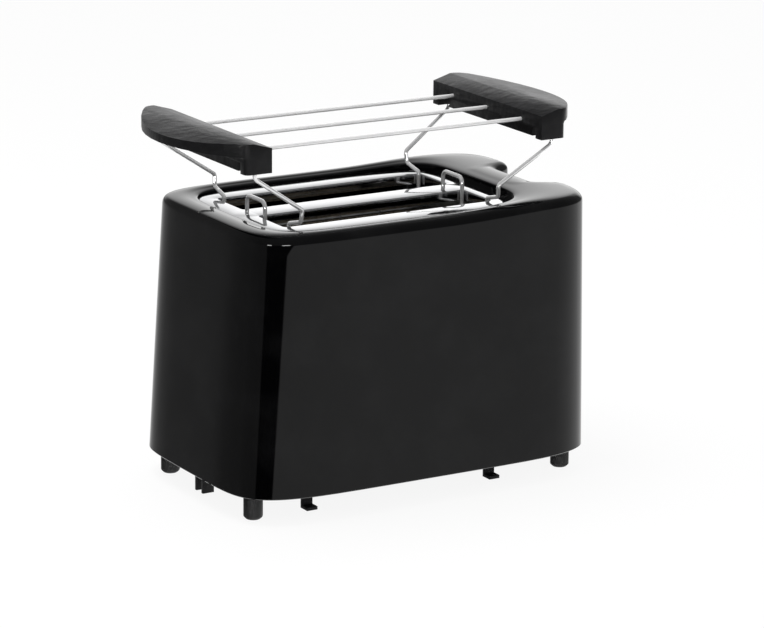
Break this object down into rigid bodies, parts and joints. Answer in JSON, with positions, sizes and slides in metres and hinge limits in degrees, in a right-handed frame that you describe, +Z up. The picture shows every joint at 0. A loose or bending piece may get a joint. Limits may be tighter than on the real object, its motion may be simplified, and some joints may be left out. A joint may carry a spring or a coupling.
{
  "type": "two-slice toaster",
  "caption": "Two-slice toaster in gloss black plastic with a bright top plate, a lever bay in one end and a lift-off bun rack on wire legs.",
  "frame": {"origin": "on the floor, under the middle of the whole object", "axes": "+Z up, +X towards the end with the lever and dial, -Y towards the plain front face with the bare badge place"},
  "size_m": [0.2806, 0.1599, 0.2263],
  "materials": {
    "gloss_black": "high gloss, moulded",
    "satin_black": "satin, fine grain",
    "rubber": "matt",
    "chrome": "mirror bright",
    "sheet_steel": "plain galvanised sheet",
    "mica": "pressed mica, mottled",
    "ribbon": "oxidised resistance ribbon",
    "copper": "lacquered winding wire",
    "board": "bare laminate",
    "grey_plastic": "satin grey"
  },
  "bodies": {
    "casing": {"outer_shell": "gloss_black", "slot_plate": "chrome", "base_plate": "satin_black", "foot_front_left": "rubber", "foot_front_right": "rubber", "foot_rear_left": "rubber", "foot_rear_right": "rubber", "base_screw_front_left": "sheet_steel", "base_screw_front_right": "sheet_steel", "base_screw_rear_left": "sheet_steel", "base_screw_rear_right": "sheet_steel", "end_plate_left": "sheet_steel", "end_plate_right": "sheet_steel", "reflector_front": "sheet_steel", "mica_board_front": "mica", "heating_ribbon_front": "ribbon", "heating_ribbon_centre_front": "ribbon", "reflector_rear": "sheet_steel", "mica_board_rear": "mica", "heating_ribbon_rear": "ribbon", "heating_ribbon_centre_rear": "ribbon", "bread_guard_front_inner": "sheet_steel", "bread_guard_front_outer": "sheet_steel", "bread_guard_rear_inner": "sheet_steel", "bread_guard_rear_outer": "sheet_steel", "mica_board_centre": "mica", "guide_rod": "chrome", "return_spring": "sheet_steel", "control_panel": "gloss_black", "potentiometer": "sheet_steel", "circuit_board": "board", "magnet_coil": "copper", "magnet_core": "sheet_steel", "switch_cancel": "satin_black", "switch_reheat": "satin_black", "switch_defrost": "satin_black"},
    "carriage": {"carriage_slide": "sheet_steel", "lever_arm": "sheet_steel", "lever_knob": "gloss_black", "latch_keeper": "sheet_steel", "bread_lifter_front": "sheet_steel", "bread_lifter_rear": "sheet_steel"},
    "dial": {"browning_dial": "satin_black", "dial_shaft": "grey_plastic"},
    "cancel": {"button_cancel": "grey_plastic"},
    "reheat": {"button_reheat": "grey_plastic"},
    "defrost": {"button_defrost": "grey_plastic"},
    "tray": {"crumb_tray": "sheet_steel"},
    "bun_rack": {"rack_handle_left": "satin_black", "rack_handle_right": "satin_black", "rod_front": "chrome", "rod_centre": "chrome", "rod_rear": "chrome", "leg_frame_left": "chrome", "leg_frame_right": "chrome"}
  },
  "joints": [
    {"name": "carriage_travel", "type": "slide", "parent": "casing", "child": "carriage", "axis": [0, 0, -1], "range_m": [0, 0.066], "stiffness_N_per_m": 60, "springref_m": -0.06, "deforming": ["return_spring"]},
    {"name": "dial_turn", "type": "hinge", "parent": "casing", "child": "dial", "pos_m": [0.10685, 0, 0.05], "axis": [-1, 0, 0], "range_deg": [0, 270]},
    {"name": "cancel_press", "type": "slide", "parent": "casing", "child": "cancel", "axis": [-1, 0, 0], "range_m": [0, 0.0015], "stiffness_N_per_m": 400},
    {"name": "reheat_press", "type": "slide", "parent": "casing", "child": "reheat", "axis": [-1, 0, 0], "range_m": [0, 0.0015], "stiffness_N_per_m": 400},
    {"name": "defrost_press", "type": "slide", "parent": "casing", "child": "defrost", "axis": [-1, 0, 0], "range_m": [0, 0.0015], "stiffness_N_per_m": 400},
    {"name": "tray_slide", "type": "slide", "parent": "casing", "child": "tray", "axis": [0, 1, 0], "range_m": [0, 0.13]},
    {"name": "rack_lift", "type": "slide", "parent": "casing", "child": "bun_rack", "axis": [0, 0, 1], "range_m": [0, 0.06]}
  ]
}
